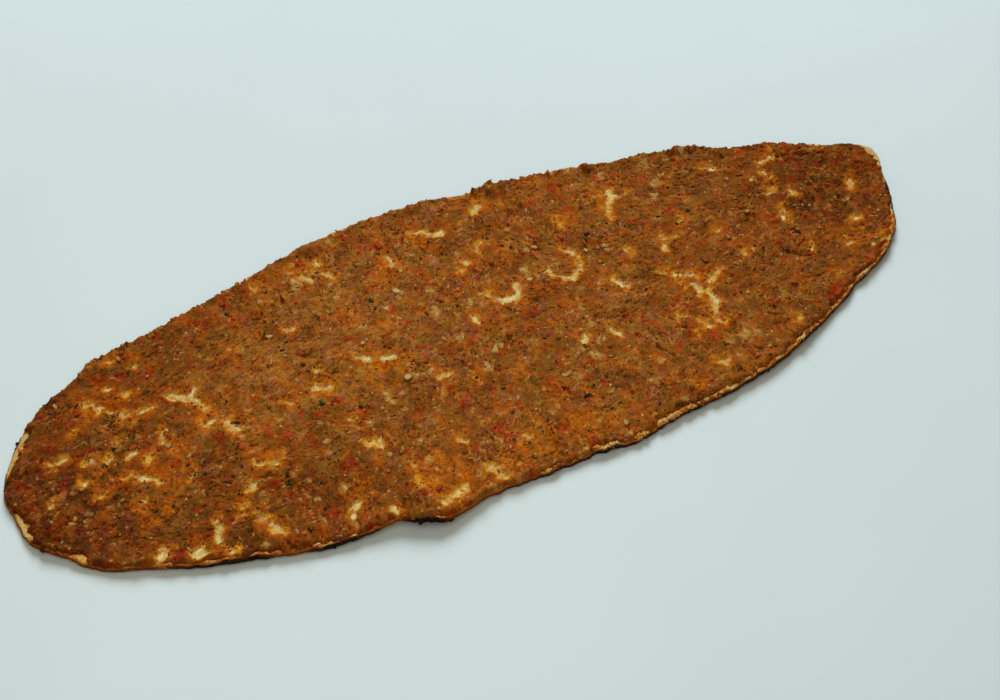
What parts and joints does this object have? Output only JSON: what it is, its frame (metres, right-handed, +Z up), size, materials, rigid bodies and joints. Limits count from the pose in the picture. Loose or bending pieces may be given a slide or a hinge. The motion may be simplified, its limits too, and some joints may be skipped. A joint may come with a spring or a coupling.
{
  "type": "lahmacun",
  "caption": "Long oval lahmacun: a thin baked flatbread with a thicker rim, covered almost to its edge with seasoned minced meat and herbs.",
  "frame": {"origin": "middle of the flatbread's outline, on the surface that it lies on", "axes": "+X along the long axis of the oval, +Y across it, +Z up out of the meat"},
  "size_m": [0.4712, 0.1806, 0.0085],
  "materials": {
    "baked_dough": "dry baked wheat dough, pale yellow to golden brown, with charred spots",
    "minced_meat": "cooked minced meat, reddish brown, slightly oily and finely granular",
    "parsley": "chopped parsley, dark olive green after baking",
    "vegetable": "chopped red pepper and tomato, soft and slightly wet",
    "onion": "chopped onion and bits of fat, pale and slightly glossy"
  },
  "bodies": {
    "root": {"flatbread": "baked_dough", "meat_spread": "minced_meat"}
  },
  "joints": []
}
